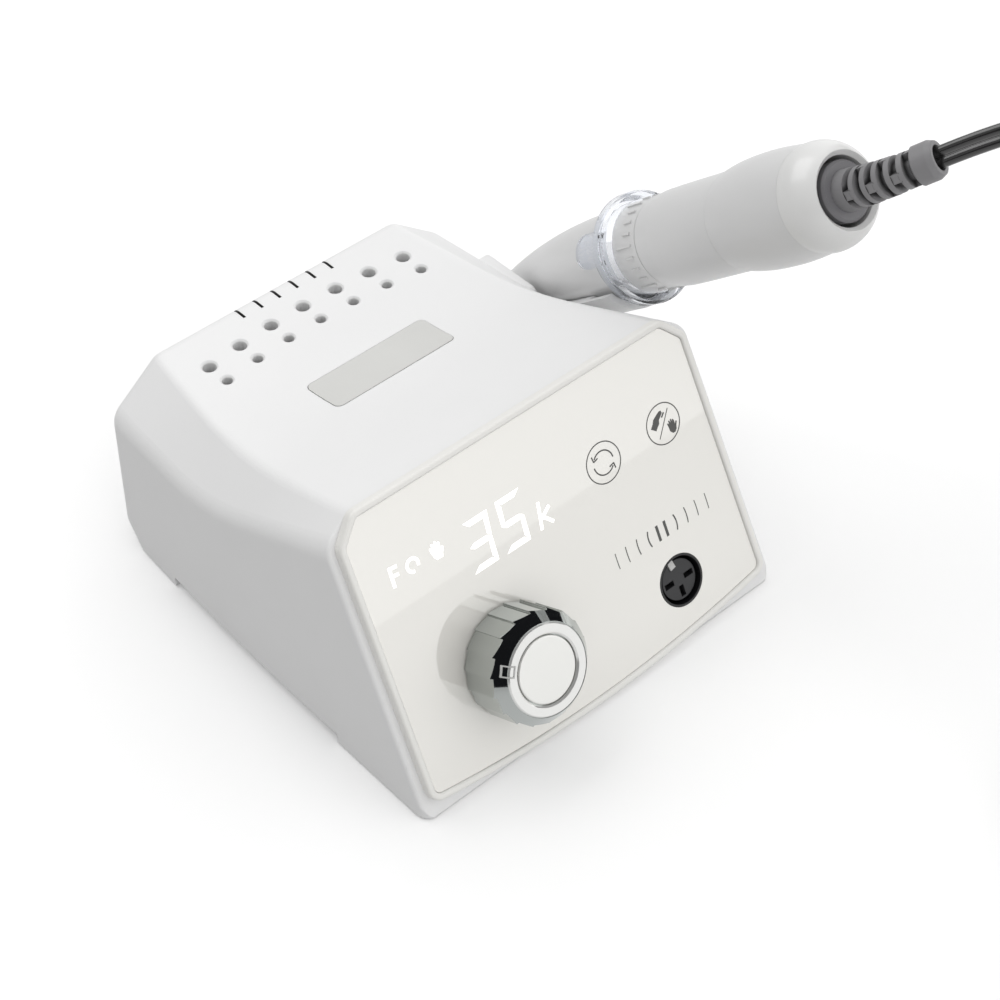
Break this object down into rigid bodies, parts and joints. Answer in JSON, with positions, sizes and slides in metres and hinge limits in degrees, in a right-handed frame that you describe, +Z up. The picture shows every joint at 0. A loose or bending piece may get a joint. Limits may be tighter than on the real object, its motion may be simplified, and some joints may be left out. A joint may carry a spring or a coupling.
{
  "type": "nail drill machine",
  "caption": "White table-top nail drill unit with a sloped glossy touch panel, faceted speed knob, round handpiece socket, and a motor handpiece resting in a side holder.",
  "frame": {"origin": "under the middle of the machine without its cord, on the surface that it stands on", "axes": "+Z up, -Y is the side with the front panel, +X is the side with the handpiece"},
  "size_m": [0.1963, 0.343, 0.1699],
  "materials": {
    "shell_white": "satin",
    "bezel_ivory": "satin",
    "panel_gloss": "gloss",
    "badge_grey": "satin",
    "rubber_grey": "matte",
    "zinc_steel": "brushed",
    "board_green": "satin",
    "display_white": "gloss",
    "copper_foil": "polished",
    "knob_chrome": "polished",
    "knob_ring": "polished",
    "knob_cap_silver": "gloss",
    "mark_dark": "gloss",
    "socket_black": "satin",
    "insert_dark": "satin",
    "contact_tin": "brushed",
    "key_grey": "matte",
    "nylon_white": "matte",
    "sink_aluminium": "satin",
    "can_black": "gloss",
    "core_iron": "matte",
    "winding_copper": "satin",
    "rocker_black": "gloss",
    "handpiece_white": "satin",
    "ring_clear": "polished",
    "tool_steel": "brushed",
    "bearing_steel": "polished",
    "brass_sleeve": "satin",
    "magnet_dark": "matte",
    "rotor_iron": "matte",
    "holder_brown": "matte",
    "brush_carbon": "matte",
    "lip_cream": "satin",
    "disc_dark": "matte",
    "relief_grey": "matte",
    "holder_white": "satin",
    "cord_smoke": "gloss",
    "plug_dark": "satin"
  },
  "bodies": {
    "control_unit": {"badge_plate": "badge_grey", "base_plate": "shell_white", "base_screws": "zinc_steel", "board_components": "can_black", "board_standoffs": "nylon_white", "capacitors": "can_black", "din_socket_body": "socket_black", "din_socket_contacts": "contact_tin", "din_socket_insert": "insert_dark", "din_socket_key": "key_grey", "display_module": "display_white", "front_board": "board_green", "front_panel": "panel_gloss", "handpiece_holder": "holder_white", "heat_sink": "sink_aluminium", "holder_screws": "zinc_steel", "inlet_pins": "contact_tin", "inside_screws": "zinc_steel", "main_board": "board_green", "mains_inlet": "socket_black", "panel_bezel": "bezel_ivory", "panel_nuts": "zinc_steel", "pedal_jack": "socket_black", "rubber_feet": "rubber_grey", "speed_potentiometer": "zinc_steel", "switch_frame": "socket_black", "switch_pin": "zinc_steel", "touch_sensor_pads": "copper_foil", "transformer_core": "core_iron", "transformer_winding": "winding_copper", "upper_shell": "shell_white"},
    "knob": {"speed_knob": "knob_chrome", "knob_front_ring": "knob_ring", "knob_cap": "knob_cap_silver", "knob_index_mark": "mark_dark", "knob_shaft": "zinc_steel"},
    "rocker": {"power_rocker": "rocker_black"},
    "handpiece": {"nose_cone": "handpiece_white", "nose_tip_ring": "handpiece_white", "chuck_bearings": "bearing_steel", "guard_ring": "ring_clear", "motor_sleeve": "handpiece_white", "motor_can": "zinc_steel", "motor_magnets": "magnet_dark", "brush_holder": "holder_brown", "brushes": "brush_carbon", "motor_end_plates": "zinc_steel", "motor_bearings": "bearing_steel", "rear_housing": "handpiece_white", "rear_lip": "lip_cream", "terminal_disc": "disc_dark", "strain_relief": "relief_grey", "cord_stretch": "cord_smoke", "cord_coil": "cord_smoke", "plug_body": "plug_dark", "plug_contacts": "contact_tin"},
    "spindle": {"chuck_spindle": "tool_steel", "motor_rotor": "rotor_iron"},
    "collar": {"twist_collar": "handpiece_white"},
    "chuck_sleeve": {"release_sleeve": "brass_sleeve"}
  },
  "joints": [
    {"name": "knob_turn", "type": "hinge", "parent": "control_unit", "child": "knob", "pos_m": [-0.04299, -0.05822, 0.0294], "axis": [0, -0.8918, 0.4524], "range_deg": [0, 300]},
    {"name": "power_rock", "type": "hinge", "parent": "control_unit", "child": "rocker", "pos_m": [-0.01299, 0.08037, 0.03], "axis": [0, 0, -1], "range_deg": [0, 16]},
    {"name": "handpiece_lift", "type": "slide", "parent": "control_unit", "child": "handpiece", "axis": [0.057, -0.7653, 0.6412], "range_m": [0, 0.08]},
    {"name": "spindle_spin", "type": "hinge", "parent": "handpiece", "child": "spindle", "pos_m": [0.06158, 0.05287, 0.03675], "axis": [0.057, -0.7653, 0.6412], "continuous": true},
    {"name": "collar_twist", "type": "hinge", "parent": "handpiece", "child": "collar", "pos_m": [0.06528, 0.00313, 0.07843], "axis": [0.057, -0.7653, 0.6412], "range_deg": [0, 60]},
    {"name": "sleeve_slide", "type": "slide", "parent": "handpiece", "child": "chuck_sleeve", "axis": [0.057, -0.7653, 0.6412], "range_m": [0, 0.0012]}
  ],
  "couplings": [
    {"joint": "collar_twist", "follows": "sleeve_slide", "rad_per_m": 872.66}
  ]
}
